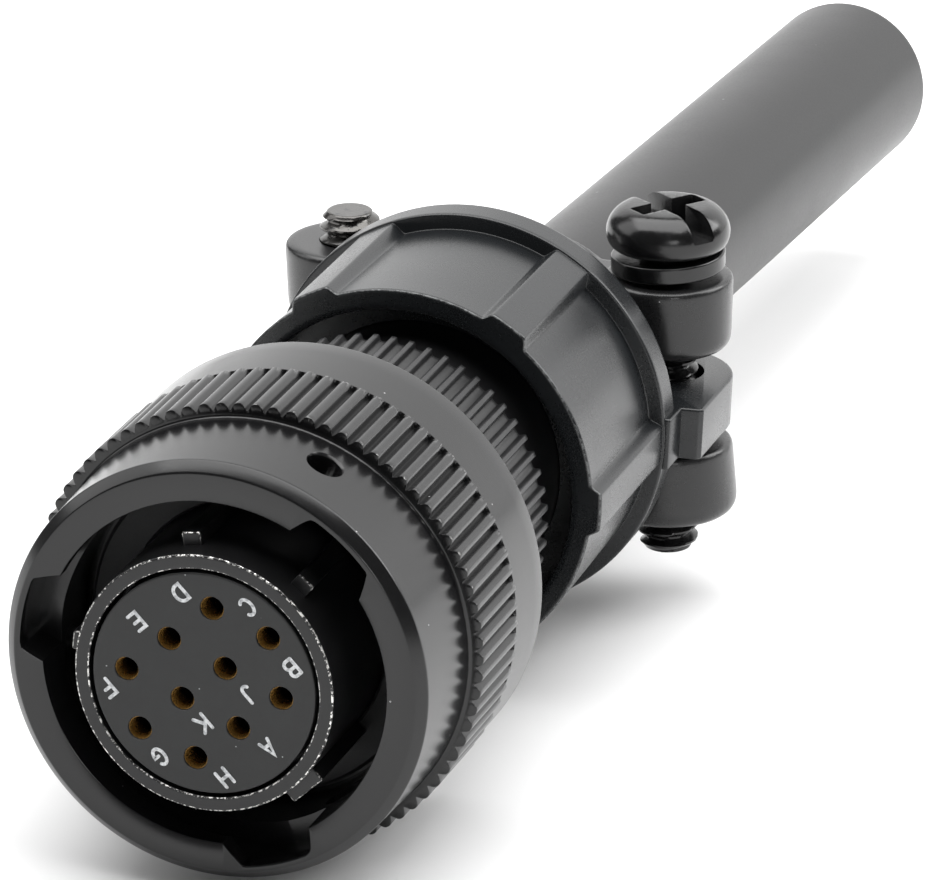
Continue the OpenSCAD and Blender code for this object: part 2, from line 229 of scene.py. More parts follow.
class Graph:
    def __init__(self, name):
        self.mat = bpy.data.materials.new(name)
        self.mat.use_nodes = True
        self.t = self.mat.node_tree
        self.t.nodes.clear()
        self.out = self.t.nodes.new("ShaderNodeOutputMaterial")
        self.bsdf = self.t.nodes.new("ShaderNodeBsdfPrincipled")
        self.t.links.new(self.bsdf.outputs[0], self.out.inputs[0])
        self.place = self.t.nodes.new("ShaderNodeTexCoord").outputs["Object"]

    def link(self, a, b):
        self.t.links.new(a, b)

    def noise(self, mm, detail=3.0, rough=0.55, stretch=None, distortion=0.0):
        n = self.t.nodes.new("ShaderNodeTexNoise")
        n.inputs["Scale"].default_value = 1000 / mm
        n.inputs["Detail"].default_value = detail
        n.inputs["Roughness"].default_value = rough
        n.inputs["Distortion"].default_value = distortion
        if stretch:
            m = self.t.nodes.new("ShaderNodeMapping")
            m.inputs["Scale"].default_value = stretch
            self.link(self.place, m.inputs["Vector"])
            self.link(m.outputs[0], n.inputs["Vector"])
        else:
            self.link(self.place, n.inputs["Vector"])
        return n.outputs["Fac"]

    def ramp(self, value, lo, hi, a=0.0, b=1.0, smooth=False):
        m = self.t.nodes.new("ShaderNodeMapRange")
        m.interpolation_type = "SMOOTHSTEP" if smooth else "LINEAR"
        m.inputs["From Min"].default_value = lo
        m.inputs["From Max"].default_value = hi
        m.inputs["To Min"].default_value = a
        m.inputs["To Max"].default_value = b
        self.link(value, m.inputs["Value"])
        return m.outputs[0]

    def math(self, op, a, b):
        m = self.t.nodes.new("ShaderNodeMath")
        m.operation = op
        m.use_clamp = True
        for s, v in zip(m.inputs, (a, b)):
            if isinstance(v, (int, float)):
                s.default_value = v
            else:
                self.link(v, s)
        return m.outputs[0]

    def mix(self, fac, a, b):
        m = self.t.nodes.new("ShaderNodeMix")
        m.data_type = "RGBA"
        self.link(fac, m.inputs["Factor"])
        ins = [s for s in m.inputs if s.type == "RGBA"]
        for s, v in zip(ins, (a, b)):
            if isinstance(v, tuple):
                s.default_value = (*v, 1.0)
            else:
                self.link(v, s)
        return [s for s in m.outputs if s.type == "RGBA"][0]

    def attr(self, name):
        n = self.t.nodes.new("ShaderNodeAttribute")
        n.attribute_name = name
        return n.outputs["Fac"]

    def specks(self, spacing, size, share):
        """Sparse round dust specks: about one cell in 1/share has one."""
        v = self.t.nodes.new("ShaderNodeTexVoronoi")
        v.inputs["Scale"].default_value = 1000 / spacing
        self.link(self.place, v.inputs["Vector"])
        sep = self.t.nodes.new("ShaderNodeSeparateColor")
        self.link(v.outputs["Color"], sep.inputs[0])
        dot = self.ramp(v.outputs["Distance"], size / spacing, 0.6 * size / spacing, 0, 1)
        pick = self.ramp(sep.outputs[0], 1 - share, 1 - share + 0.02, 0, 1)
        return self.math("MULTIPLY", dot, pick)

    def bump(self, height, mm, strength=1.0):
        b = self.t.nodes.new("ShaderNodeBump")
        b.inputs["Distance"].default_value = mm * MM
        b.inputs["Strength"].default_value = strength
        self.link(height, b.inputs["Height"])
        self.link(b.outputs[0], self.bsdf.inputs["Normal"])

    def set(self, name, value):
        self.bsdf.inputs[name].default_value = value


def tint(c, k):
    return tuple(min(1.0, x * k) for x in c)


def coated(name, base, rough, vary=0.18, cloud=2.5, grain=0.12, grain_mm=0.004, ior=1.5, dust=None, wear=None, crest=None, coat=0.0):
    """Dark coated metal, plastic or rubber: cloudy colour, grain in gloss and height, a lighter painted highlight on
    crests, dust, bright worn edges.
    """
    g = Graph(name)
    clouds = g.noise(cloud, 4.0, 0.6)
    fine = g.noise(grain, 2.0, 0.5)
    colour = g.mix(g.ramp(clouds, 0.3, 0.7), tint(base, 1 - vary), tint(base, 1 + vary))
    roughness = g.ramp(g.math("MULTIPLY", g.ramp(clouds, 0.25, 0.75, 0.6, 1.0), g.ramp(fine, 0.2, 0.8, 0.5, 1.0)), 0.3, 1.0, rough[0], rough[1])
    # crest colour: a painted highlight on the knurl crests, streaky, mixed in where the crest attribute is set
    if crest:
        streak = g.noise(0.5, 3.0, 0.6)
        crest_painted_highlight = g.math("MULTIPLY", g.attr("crest"), g.ramp(streak, 0.3, 0.72, 0.25, 1.0))
        colour = g.mix(crest_painted_highlight, colour, crest)
    if dust:
        spacing, size, share, level = dust
        colour = g.mix(g.specks(spacing, size, share), colour, level)
    if wear:
        chips = g.ramp(g.noise(wear[1], 3.0, 0.65), wear[2], wear[2] + 0.07)
        worn = g.math("MULTIPLY", g.ramp(g.attr("wear"), 0.25, 0.75), chips)
        colour = g.mix(worn, colour, wear[0])
        g.link(g.math("MULTIPLY", worn, 0.85), g.bsdf.inputs["Metallic"])
    g.link(colour, g.bsdf.inputs["Base Color"])
    g.link(roughness, g.bsdf.inputs["Roughness"])
    g.set("IOR", ior)
    if coat:
        g.set("Coat Weight", coat)
        g.set("Coat Roughness", 0.12)
    g.bump(fine, grain_mm)
    return g.mat


BRIGHT = (0.80, 0.79, 0.76)
# The crest colours of the ring and the shell are a painted highlight on their knurl crests
m_ring = coated("black_anodised_ring", (0.005, 0.005, 0.0053), (0.18, 0.27), 0.10, 3.0, 0.10, 0.0008, 1.47,
                dust=(1.7, 0.06, 0.50, (0.36, 0.36, 0.36)), wear=((0.40, 0.40, 0.39), 0.30, 0.56), crest=(0.020, 0.020, 0.021))
m_shell = coated("black_anodised_shell", (0.006, 0.006, 0.0064), (0.28, 0.42), 0.15, 2.0, 0.10, 0.0015, 1.45,
                 dust=(1.1, 0.045, 0.06, (0.40, 0.40, 0.38)), wear=(BRIGHT, 0.20, 0.50), crest=(0.016, 0.016, 0.017))
m_insert = coated("carrier_plastic", (0.011, 0.0115, 0.0115), (0.38, 0.58), 0.30, 2.2, 0.09, 0.002, 1.44,
                  dust=(0.9, 0.045, 0.35, (0.34, 0.35, 0.35)))
m_cast = coated("backshell_black", (0.0085, 0.0095, 0.0105), (0.25, 0.32), 0.10, 3.0, 0.11, 0.0004, 1.5,
                dust=(2.3, 0.055, 0.40, (0.34, 0.34, 0.34)), wear=((0.30, 0.31, 0.31), 0.35, 0.47))
m_saddle = coated("saddle_black", (0.011, 0.011, 0.0115), (0.24, 0.36), 0.10, 2.5, 0.10, 0.0008,
                  dust=(2.6, 0.06, 0.40, (0.32, 0.32, 0.32)))
m_steel = coated("screw_black_oxide", (0.0045, 0.0045, 0.0047), (0.16, 0.30), 0.35, 1.2, 0.25, 0.005,
                 wear=((0.095, 0.092, 0.088), 0.50, 0.36))
m_rubber = coated("sleeve_rubber", (0.011, 0.0107, 0.0113), (0.29, 0.40), 0.10, 5.0, 0.14, 0.002, 1.39,
                  dust=(3.2, 0.13, 0.80, (0.24, 0.24, 0.25)))
m_seal = coated("seal_rubber", (0.018, 0.018, 0.019), (0.55, 0.72), 0.2, 2.0, 0.15, 0.006)
m_grommet = coated("grommet_rubber", (0.26, 0.050, 0.040), (0.55, 0.72), 0.2, 2.0, 0.15, 0.006)
m_follower = coated("follower_plastic", (0.10, 0.10, 0.105), (0.45, 0.60), 0.15, 2.0, 0.15, 0.004)


def metal(name, colour, rough, grain=0.2, vary=0.12, metallic=1.0, bore_painted_shade=None):
    g = Graph(name)
    clouds = g.noise(0.9, 4.0, 0.6)
    fine = g.noise(grain, 2.0, 0.5)
    tone = g.mix(g.ramp(clouds, 0.3, 0.7), tint(colour, 1 - vary), tint(colour, 1 + vary))
    # painted shade: the colour goes to near black with the depth attribute, where shade falls inside the bore
    if bore_painted_shade:
        tone = g.mix(g.attr("depth"), tone, bore_painted_shade)
    g.link(tone, g.bsdf.inputs["Base Color"])
    g.link(g.ramp(fine, 0.25, 0.75, rough[0], rough[1]), g.bsdf.inputs["Roughness"])
    g.set("Metallic", metallic)
    g.bump(fine, 0.002)
    return g.mat


m_brass = metal("contact_brass", (0.31, 0.17, 0.042), (0.22, 0.36), metallic=0.70, bore_painted_shade=(0.008, 0.005, 0.003))
m_spring = metal("spring_steel", (0.52, 0.51, 0.49), (0.22, 0.38))

g = Graph("letter_ink")
patch = g.noise(0.30, 3.0, 0.6)
g.link(g.mix(g.ramp(patch, 0.34, 0.58), (0.26, 0.27, 0.28), (0.62, 0.63, 0.64)), g.bsdf.inputs["Base Color"])
g.link(g.ramp(patch, 0.3, 0.7, 0.5, 0.7), g.bsdf.inputs["Roughness"])
g.bump(patch, 0.003)
m_ink = g.mat


# ---------------------------------------------------------------- coupling ring

KN, PHASE = 80, -1.03
NOTCH, SIGHT = 48.6, 65.5
# radius of an entry notch against the angle from its middle: a slanted wall, the floor, a wall that eases off
WALLS = ((-16.5, 9.65), (-11.6, 10.75), (-11.0, 10.88), (-10.2, 10.93), (9.0, 10.93), (10.4, 10.85), (11.4, 10.6), (14.2, 9.65))
HALF = ((0, 12.405), (0.035, 12.43), (0.105, 12.54), (0.18, 12.655), (0.25, 12.74), (0.325, 12.795), (0.41, 12.823), (0.5, 12.83))
TOOTH = HALF + tuple((1 - t, r) for t, r in HALF[-2::-1])


def tooth_radius(a):
    t = ((a - PHASE) * KN / 360 + 0.5) % 1
    for (t0, r0), (t1, r1) in zip(TOOTH, TOOTH[1:]):
        if t <= t1:
            return r0 + (r1 - r0) * (t - t0) / (t1 - t0)
    return TOOTH[0][1]


def off(a, b):
    return (a - b + 180) % 360 - 180


def ring_inside(a):
    """Radii and depths of the bore at an angle: front, groove, rear, groove start and end."""
    for k in range(3):
        d = off(a, NOTCH + 120 * k)
        if WALLS[0][0] < d < WALLS[-1][0]:
            for (d0, r0), (d1, r1) in zip(WALLS, WALLS[1:]):
                if d <= d1:
                    f = r0 + (r1 - r0) * (d - d0) / (d1 - d0)
                    break
            if d >= 0:
                return f, f, 9.65, 2.9, 4.25
            c = 3.1 - 2.6 * d / 103
            return f, max(f, 10.7), 9.65, c - 0.9 if d < -11 else 2.6, max(4.25, c + 1.15)
    for k in range(3):
        d = -off(a, NOTCH + 120 * k)
        if 16.5 <= d < 106.4:
            w = 1.15 if d < 100 else 1.15 * math.sqrt(max(0.0, 1 - ((d - 100) / 6.4) ** 2))
            c = 3.1 + 2.6 * d / 103
            return 9.65, 10.7 if w > 0.03 else 9.65, 9.65, c - max(w, 0.02), c + max(w, 0.02)
    return 9.65, 9.65, 9.65, 3.0, 6.0


def ring_loop(a):
    ra, rb, rc, ya, yb = ring_inside(a)
    rt = tooth_radius(a)
    # flat face, chamfer, a slightly coned lip, and a small fillet at the knurl
    p = [(ra, 1.55), (ra + 0.02, 1.49), (ra + 0.08, 1.45), (11.14, 1.45), (11.23, 1.453), (11.275, 1.475), (11.33, 1.52), (11.55, 1.735), (11.755, 1.94), (11.795, 1.99), (11.812, 2.05), (11.815, 2.2)]
    p += [(11.84, 3.0), (11.88, 4.2), (11.92, 5.4), (11.96, 6.5), (11.99, 7.4), (12.0, 7.78), (12.01, 7.88), (12.05, 7.975), (12.12, 8.025), (12.19, 8.04), (12.3, 8.04)]
    p += [(rt - 0.04, 8.045), (rt - 0.01, 8.06), (rt, 8.1), (rt, 8.5), (rt, 13.3), (rt, 13.80), (max(rt - 0.04, min(rt + 0.02, 12.70)), 13.85), (12.70, 13.91), (12.70, 14.0)]
    p += [(12.70, 15.4), (12.70, 17.0), (12.70, 18.26), (12.692, 18.32), (12.65, 18.39), (12.52, 18.52), (12.47, 18.58), (12.40, 18.6)]
    p += [(11.4, 18.6), (11.32, 18.58), (11.04, 18.32), (11.0, 18.2), (11.0, 15.45), (11.6, 15.45), (11.6, 14.6), (11.0, 14.6), (11.0, 8.98)]
    p += [(rc, 8.98), (rc, yb), (rb, yb), (rb, ya), (ra, ya)]
    return p


angles = set()
for i in range(KN):
    for t, _ in TOOTH[:-1]:
        angles.add(round((PHASE + (i + t - 0.5) * 360 / KN) % 360, 4))
for k in range(3):
    for d in [w for w, _ in WALLS] + [-16.56, -15.5, -14.4, -13.2, 12.3, 13.3, 14.26, -106.41, -106.29]:
        angles.add(round((NOTCH + 120 * k + d) % 360, 4))
angles = sorted(angles)
keep = [angles[0]]
for a in angles[1:]:
    if a - keep[-1] > 0.02:
        keep.append(a)
ring = columns("coupling_ring_body", keep, ring_loop)
holes = []
for k in range(3):
    a = SIGHT + 120 * k
    ux, uz = cosd(a), sind(a)

    def radial(r, w, h, ux=ux, uz=uz):
        # h runs outward, r and w are polar about the hole's axis
        s, y = r * cosd(w), 5.65 + r * sind(w)
        return (ux * h - uz * s, y, uz * h + ux * s)
    holes.append(lathe("sight_cut_%d" % k, [(0, 9.0), (1.0, 9.0), (1.0, 11.82), (1.03, 11.86), (1.14, 11.95), (1.14, 13.0), (0, 13.0)], 40, radial))
join(holes, "DIFFERENCE", ring)


# painted highlight: the crest flats of the front knurl get a lighter colour
def ring_crest_painted_highlight(v):
    r = math.hypot(v.x, v.z)
    return 0.6 if r > 12.785 and 8.09 < v.y < 13.86 else 0.0


def ring_wear(v):
    r = math.hypot(v.x, v.z)
    if r > 12.79 and (v.y < 8.12 or v.y > 13.79):
        return 0.5
    return 0.0


attribute(ring, "crest", ring_crest_painted_highlight)
attribute(ring, "wear", ring_wear)
finish(ring, "coupling_ring", m_ring, ["coupling_ring"], 36)


# ---------------------------------------------------------------- shell

GN, GP = 58, 47.5
RIDGE = ((0, 9.79), (0.10, 9.8), (0.14, 9.775), (0.175, 9.70), (0.215, 9.54), (0.25, 9.46), (0.31, 9.42), (0.5, 9.41))


def ridge_radius(a):
    t = abs(((a - GP) * GN / 360 + 0.5) % 1 - 0.5)
    for (t0, r0), (t1, r1) in zip(RIDGE, RIDGE[1:]):
        if t <= t1:
            return r0 + (r1 - r0) * (t - t0) / (t1 - t0)
    return RIDGE[-1][1]


def thread(a, y, crest, depth, pitch):
    t = (y / pitch - a / 360) % 1
    rise = min(1.0, max(0.0, (abs(t - 0.5) - 0.10) / 0.30))
    return crest - depth * rise


def shell_loop(a):
    rg = ridge_radius(a)
    p = [(6.26, 3.0), (6.45, 3.0), (6.45, 0.2), (6.45, 0.11), (6.456, 0.07), (6.475, 0.03), (6.51, 0.008), (6.56, 0.0), (6.7, 0.0), (6.95, 0.0), (7.12, 0.0), (7.17, 0.008), (7.21, 0.032), (7.234, 0.075), (7.24, 0.13), (7.24, 0.22)]
    p += [(7.24, 1.0), (7.24, 4.5), (7.24, 8.2), (7.24, 9.0), (10.8, 9.0), (10.92, 9.12), (10.92, 12.5), (10.8, 12.6), (9.55, 12.6), (9.55, 18.45)]
    p += [(9.2, 18.55), (9.2, 18.62), (rg - 0.12, 18.62), (rg - 0.02, 18.68), (rg, 18.8), (rg, 20.5), (rg, 23.0), (rg, 25.5), (rg, 27.9), (rg, 28.2), (rg - 0.02, 28.24)]
    p += [(8.9, 28.25), (8.2, 28.28), (7.75, 28.35), (7.7, 28.5), (7.7, 28.8), (7.8, 29.1), (8.1, 29.5), (8.2, 29.7), (8.2, 32.0), (8.2, 35.1)]
    for i in range(37):
        y = 35.2 + i * 0.135
        fade = min(1.0, i / 5, (36 - i) / 4)
        p.append((8.2 - (8.2 - thread(a, y, 8.2, 0.55, 1.0)) * fade, y))
    p += [(8.15, 40.25), (7.9, 40.5), (6.9, 40.5), (6.9, 20.0), (6.26, 20.0)]
    return p


angles = sorted({round((GP + (i + s * t) * 360 / GN) % 360, 4) for i in range(GN) for t, _ in RIDGE for s in (1, -1)})
shell = columns("plug_shell_body", angles, shell_loop)


def key_block(name, a, width, y0):
    # rounded tooth standing on the barrel, from the barrel's inside to its own crest
    w, top = width / 2, 7.24 + 0.72
    outline = rounded([(6.9, -w), (top, -w, 0.10), (top, w, 0.10), (6.9, w)], True, 3, 0.05)

    def place(x, z, h):
        return (x * cosd(a) - z * sind(a), h, x * sind(a) + z * cosd(a))
    levels = edge_levels(y0, 8.05, 0.09)
    return prism(name, outline, levels[:4] + [(y0 + 0.15, 0)] + levels[4:], place)


KEYS = [(-47.1, 2.2, 1.0)] + [(-47.1 + a, 1.05, 1.45) for a in (95, 145, 220, 255)]
join([key_block("key_%d" % i, *k) for i, k in enumerate(KEYS)], "UNION", shell)


def shell_wear(v):
    r = math.hypot(v.x, v.z)
    if v.y < 0.1 and 7.15 < r < 7.239:
        return 1.0
    if v.y < 0.1 and 6.452 < r < 6.53:
        return 0.72
    if r > 7.6 and v.y < 8.2:
        a = math.degrees(math.atan2(v.z, v.x))
        for ka, w, y0 in KEYS:
            if abs(off(a, ka)) < 12 and y0 + 0.005 < v.y < y0 + 0.12:
                return 0.75
    return 0.0


# painted highlight and shade: lighter towards the rear knurl's ridge tops, darker down into the valleys
def shell_ridge_painted_highlight(v):
    r = math.hypot(v.x, v.z)
    if 18.6 < v.y < 27.9:
        return max(0.0, min(1.0, (r - 9.45) / 0.3))
    return 0.0


attribute(shell, "crest", shell_ridge_painted_highlight)
attribute(shell, "wear", shell_wear)
finish(shell, "plug", m_shell, ["plug_shell"], 36)


# ---------------------------------------------------------------- contact carrier and contacts

PLACES = (("a", 0, -1), ("b", 1, -1), ("c", 1.5, 0), ("d", 1, 1), ("e", 0, 1), ("f", -1, 1), ("g", -1.5, 0), ("h", -1, -1), ("j", 0.5, 0), ("k", -0.5, 0))


def contact_place(u, v):
    u, v = u * 3.15, v * 2.98
    return u * cosd(39.4) - v * sind(39.4), u * sind(39.4) + v * cosd(39.4)


insert = lathe("contact_carrier", [(0, 0.05), (3.0, 0.05), (6.05, 0.05)] + rounded([(6.1, 0.05), (6.24, 0.05, 0.1), (6.24, 1.0)], False, 3, 0.03)[1:-1]
               + [(6.24, 3.0), (6.24, 20.02), (6.86, 20.02), (6.86, 22.0), (0, 22.0)], 128)
cuts = []
for name, u, v in PLACES:
    x, z = contact_place(u, v)

    def at(r, w, y, x=x, z=z):
        return (x + r * cosd(w), y, z + r * sind(w))
    cuts.append(lathe("hole_" + name, [(0, -0.5), (0.69, -0.5), (0.69, 0.05), (0.662, 0.08), (0.65, 0.13), (0.65, 0.53), (1.02, 0.53), (1.02, 12.5), (1.17, 12.5), (1.17, 22.6), (0, 22.6)], 40, at))
    tube = lathe("socket_contact_" + name, rounded([(0.625, 0.16), (0.64, 0.16), (0.64, 0.555), (1.0, 0.555, 0.06), (1.0, 12.02), (1.15, 12.02), (1.15, 13.2, 0.08), (0.95, 13.2), (0.95, 26.5, 0.08), (0.62, 26.5), (0.62, 20.6), (0.52, 9.6), (0.52, 2.2), (0.52, 1.4), (0.52, 1.1), (0.52, 0.85), (0.52, 0.60, 0.12)], True, 3, 0.04), 40, at)
    # the wire barrel and the pin bore are two blind holes: a disc parts them
    disc = lathe("part_" + name, [(0, 9.6), (0.75, 9.6), (0.75, 20.6), (0, 20.6)], 24, at)
    join([disc], "UNION", tube)
    # painted shade: the depth attribute darkens the contact's bore towards black from 0.5 to 1.4 mm in
    attribute(tube, "depth", lambda v, x=x, z=z: max(0.0, min(1.0, (v.y - 0.5) / 0.9)) if math.hypot(v.x - x, v.z - z) < 0.6 and v.y < 10 else 0.0)
    finish(tube, "plug", m_brass, ["socket_" + name], 40)
join(cuts, "DIFFERENCE", insert)
finish(insert, "plug", m_insert, ["socket_insert"], 36)


# Position letters, drawn as strokes of a round-ended pen on a 0.62 x 1 box
def bow(cx, cy, rx, ry, a0, a1, n=12):
    return [(cx + rx * cosd(a0 + (a1 - a0) * i / n), cy + ry * sind(a0 + (a1 - a0) * i / n)) for i in range(n + 1)]


STROKES = {
    "A": [[(0, 0), (0.31, 1), (0.62, 0)], [(0.11, 0.34), (0.51, 0.34)]],
    "B": [[(0, 0), (0, 1)], [(0.02, 1), (0.30, 1)] + bow(0.33, 0.765, 0.24, 0.235, 90, -90)[1:] + [(0.02, 0.53)], [(0.02, 0), (0.32, 0)] + bow(0.34, 0.265, 0.27, 0.265, -90, 90)[1:] + [(0.2, 0.53)]],
    "C": [bow(0.34, 0.5, 0.32, 0.5, 48, 312, 18)],
    "D": [[(0, 0), (0, 1), (0.22, 1)] + bow(0.22, 0.5, 0.40, 0.5, 90, -90, 14)[1:] + [(0, 0)]],
    "E": [[(0.56, 1), (0, 1), (0, 0), (0.56, 0)], [(0, 0.52), (0.48, 0.52)]],
    "F": [[(0.58, 1), (0, 1), (0, 0)], [(0, 0.52), (0.48, 0.52)]],
    "G": [bow(0.34, 0.5, 0.32, 0.5, 48, 350, 18) + [(0.66, 0.44), (0.38, 0.44)]],
    "H": [[(0, 0), (0, 1)], [(0.60, 0), (0.60, 1)], [(0, 0.5), (0.60, 0.5)]],
    "J": [[(0.46, 1), (0.46, 0.26)] + bow(0.24, 0.26, 0.22, 0.26, 0, -150, 9)[1:]],
    "K": [[(0, 0), (0, 1)], [(0.60, 1), (0.02, 0.42)], [(0.20, 0.60), (0.62, 0)]],
}
LETTERS = {"D": (-1.22, 4.94), "C": (2.57, 4.66), "E": (-3.67, 3.07), "B": (4.96, 1.48), "F": (-5.42, -0.93), "J": (2.53, -0.27),
           "K": (-0.08, -2.28), "A": (3.61, -3.22), "G": (-2.55, -4.48), "H": (1.09, -5.21)}
CAP, PEN = 0.95, 0.095
UP, RIGHT = (cosd(-47.1), sind(-47.1)), (cosd(-137.1), sind(-137.1))


verts, faces = [], []


def ink_point(c, p, y):
    return (c[0] + p.x * RIGHT[0] + p.y * UP[0], y, c[1] + p.x * RIGHT[1] + p.y * UP[1])


for ch, centre in LETTERS.items():
    allp = [p for s in STROKES[ch] for p in s]
    mx = (min(p[0] for p in allp) + max(p[0] for p in allp)) / 2 * CAP
    for s, stroke in enumerate(STROKES[ch]):
        line = [Vector((p[0] * CAP - mx, (p[1] - 0.5) * CAP)) for p in stroke]
        # a flat ribbon with a little height, as printed ink has: quads along the line, round ends
        closed = (line[0] - line[-1]).length < 1e-6
        top, low = 0.030 - 0.0015 * s, 0.0495
        seq = line[:-1] if closed else line
        n = len(seq)
        left, right = [], []
        for i, p in enumerate(seq):
            prev = seq[i - 1] if (i or closed) else None
            nxt = seq[(i + 1) % n] if (i + 1 < n or closed) else None
            u = (p - prev).normalized() if prev is not None else (nxt - p).normalized()
            v = (nxt - p).normalized() if nxt is not None else u
            m = Vector((-u.y - v.y, u.x + v.x))
            m = m.normalized() if m.length > 1e-6 else Vector((-u.y, u.x))
            k = min(PEN / max(0.3, m.dot(Vector((-u.y, u.x)))), 1.8 * PEN)
            left.append(p + m * k)
            right.append(p - m * k)
        if not closed:
            def cap(p, d, flip):
                w = math.atan2(d.y, d.x)
                return [p + Vector((math.cos(w + math.pi / 2 - math.pi * q / 5), math.sin(w + math.pi / 2 - math.pi * q / 5))) * PEN for q in range(1, 5)]
            end = cap(seq[-1], (seq[-1] - seq[-2]).normalized(), False)
            start = cap(seq[0], (seq[0] - seq[1]).normalized(), True)
        base = len(verts)
        for i in range(n):
            verts += [ink_point(centre, left[i], top), ink_point(centre, right[i], top), ink_point(centre, left[i], low), ink_point(centre, right[i], low)]
        for i in range(n if closed else n - 1):
            a, b = base + 4 * i, base + 4 * ((i + 1) % n)
            faces += [(a, b, b + 1, a + 1), (a + 2, a + 3, b + 3, b + 2), (a, a + 2, b + 2, b), (a + 1, b + 1, b + 3, a + 3)]
        if not closed:
            for pts, first, last in ((end, base + 4 * (n - 1), True), (start, base, False)):
                q0 = len(verts)
                for p in pts:
                    verts += [ink_point(centre, p, top), ink_point(centre, p, low)]
                l, r = (first, first + 1) if last else (first + 1, first)
                chain_t = [l] + [q0 + 2 * i for i in range(len(pts))] + [r]
                chain_b = [l + 2] + [q0 + 2 * i + 1 for i in range(len(pts))] + [r + 2]
                faces.append(tuple(chain_t))
                faces.append(tuple(chain_b[::-1]))
                for i in range(len(chain_t) - 1):
                    faces.append((chain_t[i], chain_b[i], chain_b[i + 1], chain_t[i + 1]))
letters = new_object("position_letters", verts, faces)
finish(letters, "plug", m_ink, (), 40)


# ---------------------------------------------------------------- backshell

TURN = -3.3


def rib_radius(d, y):
    """Outer radius at d degrees from a rib's middle, before the flange."""
    panel = 11.25 - 0.25 * (y - 31.5) / 11.2
    d = abs(d)
    top = min(11.8, 11.79 / cosd(min(d, 6)))
    if d <= 5.0:
        return top
    if d >= 8.0:
        return panel
    t = (d - 5.0) / 3.0
    t = t * t * (3 - 2 * t)
    return top + (panel - top) * t


def cup_loop(a):
    d = off(a, TURN + 60 * round((a - TURN) / 60))
    r0 = rib_radius(d, 31.5)
    e = 0.16
    p = [(10.0, 31.8), (10.02, 31.66), (10.09, 31.53), (10.2, 31.47), (10.45, 31.47), (r0 - e - 0.05, 31.47)]
    p += [(r0 - e + e * cosd(w), 31.47 + e + e * sind(w)) for w in (-90, -60, -30, 0)]
    p += [(rib_radius(d, y), y) for y in (31.75, 34.0, 37.0, 40.0)]
    rb = rib_radius(d, 42.4)
    q = min(0.07, (11.92 - rb) * 0.4)
    p += [(rb, 42.87 - q - 0.2), (rb, 42.87 - q)]
    p += [(rb + q - q * cosd(w), 42.87 - q + q * sind(w)) for w in (30, 60, 90)]
    s = min(0.14, (11.92 - rb) * 0.5)
    p += [(11.92 - s, 42.87)]
    p += [(11.92 - s + s * sind(w), 42.87 + s - s * cosd(w)) for w in (30, 60, 90)]
    p += [(11.92, 43.2), (11.92, 44.0), (11.92, 44.6)]
    p += [(11.57 + 0.35 * cosd(w), 44.65 + 0.35 * sind(w)) for w in (0, 22.5, 45, 67.5, 90)]
    p += [(11.3, 45.0), (9.0, 45.0), (6.1, 45.0), (6.0, 44.9), (6.0, 41.7), (8.25, 41.7), (8.25, 35.0), (10.0, 35.0)]
    return p


angles = set()
for k in range(6):
    for d in (0, 1.5, 3.0, 4.4, 5.0, 5.3, 5.7, 6.1, 6.5, 6.9, 7.3, 7.7, 8.0, 8.4, 9.0):
        for s in (1, -1):
            angles.add(round((TURN + 60 * k + s * d) % 360, 4))
    for i in range(1, 22):
        angles.add(round((TURN + 60 * k + 9.0 + 42.0 * i / 22) % 360, 4))
cup = columns("backshell_body", sorted(angles), cup_loop)


def lug(name, side, outline):
    def place(x, y, h):
        x = x if side > 0 else -x
        return (x * cosd(TURN) - h * sind(TURN), y, x * sind(TURN) + h * cosd(TURN))
    return prism(name, outline, edge_levels(-1.55, 1.55, 0.16), place)


PLATE = [(6.0, 45.0), (12.2, 45.0)] + rounded([(12.2, 45.0), (13.2, 45.2, 0.1), (13.4, 45.42, 0.1), (13.4, 50.6)], False, 2, 0.05)[1:-1] \
    + [(9.7 + 3.7 * cosd(w), 50.6 + 3.7 * sind(w)) for w in range(0, 181, 10)] + [(6.0, 50.6)]
BOSS = [(6.4, 42.95), (12.0, 42.95), (12.14, 43.0), (12.2, 43.14), (12.2, 45.6), (6.4, 45.6)]
join([lug("lug_right", 1, PLATE), lug("boss_right", 1, BOSS), lug("lug_left", -1, PLATE), lug("boss_left", -1, BOSS)], "UNION", cup)


def upright(x, y):
    return lambda r, w, h: (x + r * cosd(w), y + r * sind(w), h)


join([lathe("lug_hole_r", [(0, -4), (2.1, -4), (2.1, 4), (0, 4)], 48, upright(9.7, 50.6)),
      lathe("lug_hole_l", [(0, -4), (2.1, -4), (2.1, 4), (0, 4)], 48, upright(-9.7, 50.6))], "DIFFERENCE", cup)


def cup_wear(v):
    r = math.hypot(v.x, v.z)
    if v.y < 31.68 and r > 10.9:
        return 0.40 if r > 10.98 and 31.48 < v.y < 31.6 else 0.0
    return 0.0


attribute(cup, "wear", cup_wear)
finish(cup, "plug", m_cast, ["backshell"], 36)


# ---------------------------------------------------------------- sleeve

LEAN, DIR = 2.36, -40.5
AXIS = Vector((sind(LEAN) * cosd(DIR), cosd(LEAN), sind(LEAN) * sind(DIR)))
E1 = AXIS.cross(Vector((0, 0, 1))).normalized()
E2 = E1.cross(AXIS).normalized()


def on_sleeve(r, w, t):
    p = Vector((0, 44, 0)) + AXIS * t + (E1 * cosd(w) + E2 * sind(w)) * r
    return (p.x, p.y, p.z)


sleeve = lathe("rubber_sleeve", rounded([(3.75, -0.7, 0.3), (5.35, -0.7, 0.3), (5.35, 12.0), (5.35, 24.0), (5.35, 38.0), (5.35, 52.0), (5.35, 69.7, 0.75), (3.75, 69.7, 0.35), (3.75, 40.0), (3.75, 20.0)], True, 6, 0.15), 128, on_sleeve)
finish(sleeve, "plug", m_rubber, ["cable_sleeve"], 50)


# ---------------------------------------------------------------- clamp saddles

